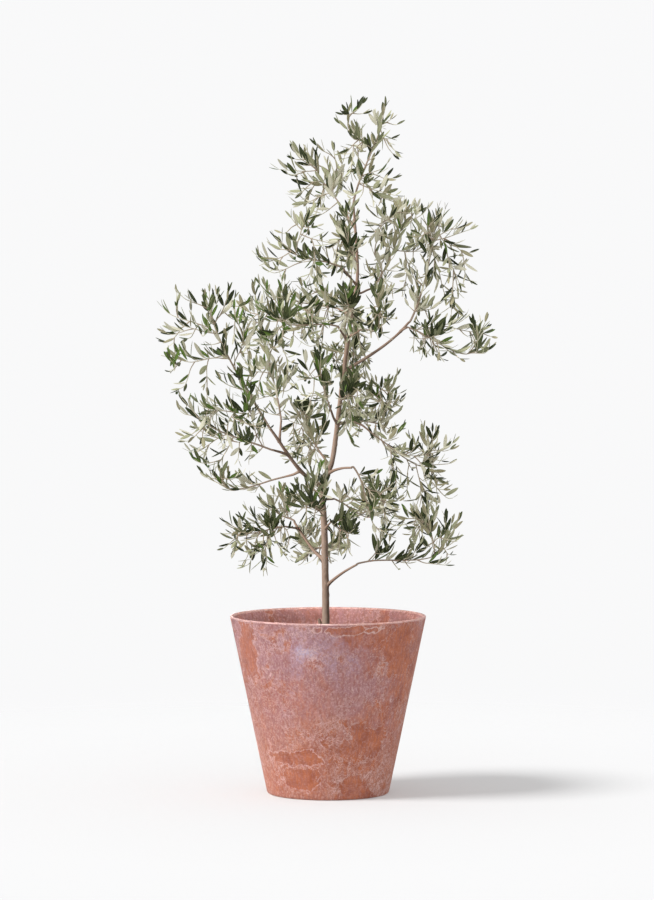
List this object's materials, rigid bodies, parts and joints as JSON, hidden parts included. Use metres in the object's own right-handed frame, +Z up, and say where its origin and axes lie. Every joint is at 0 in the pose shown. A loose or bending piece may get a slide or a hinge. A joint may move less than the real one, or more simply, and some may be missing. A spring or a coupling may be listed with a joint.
{
  "type": "potted olive tree",
  "caption": "Young olive tree with a slim leaning trunk and an open, irregular crown of narrow grey-green leaves, standing in a straight tapered terracotta pot.",
  "frame": {"origin": "centre of the pot's flat underside, at the level it stands on", "axes": "+Z up along the pot's axis; the view of the picture looks along +Y, with +X to its right"},
  "size_m": [0.6541, 0.459, 1.3361],
  "materials": {
    "clay": "matt fired clay with a chalky bloom",
    "compost": "rough dark compost",
    "bark": "grey-brown young bark",
    "leaf": "leathery grey-green leaves, silvery below"
  },
  "bodies": {
    "root": {"bough_arch": "bark", "bough_back": "bark", "bough_back_right": "bark", "bough_bottom": "bark", "bough_centre_left": "bark", "bough_droop": "bark", "bough_front": "bark", "bough_front_left": "bark", "bough_inner_right": "bark", "bough_left": "bark", "bough_left_inner": "bark", "bough_left_long": "bark", "bough_left_low": "bark", "bough_left_top": "bark", "bough_low_left": "bark", "bough_low_right": "bark", "bough_mid_right": "bark", "bough_right": "bark", "bough_right_low": "bark", "bough_right_tip": "bark", "bough_upper_left": "bark", "bough_upper_right": "bark", "foliage_arch": "leaf", "foliage_back": "leaf", "foliage_back_right": "leaf", "foliage_bottom": "leaf", "foliage_centre_front": "leaf", "foliage_centre_left": "leaf", "foliage_droop": "leaf", "foliage_front": "leaf", "foliage_front_left": "leaf", "foliage_inner_right": "leaf", "foliage_left_inner": "leaf", "foliage_left_long": "leaf", "foliage_left_low": "leaf", "foliage_left_top": "leaf", "foliage_left_upper": "leaf", "foliage_low_back": "leaf", "foliage_low_front": "leaf", "foliage_low_left": "leaf", "foliage_low_right": "leaf", "foliage_mid_back": "leaf", "foliage_mid_front": "leaf", "foliage_mid_right": "leaf", "foliage_right_low": "leaf", "foliage_right_tip": "leaf", "foliage_right_top": "leaf", "foliage_top": "leaf", "foliage_upper_back": "leaf", "foliage_upper_front": "leaf", "foliage_upper_left": "leaf", "foliage_upper_right": "leaf", "pot": "clay", "soil": "compost", "trunk": "bark"}
  },
  "joints": []
}
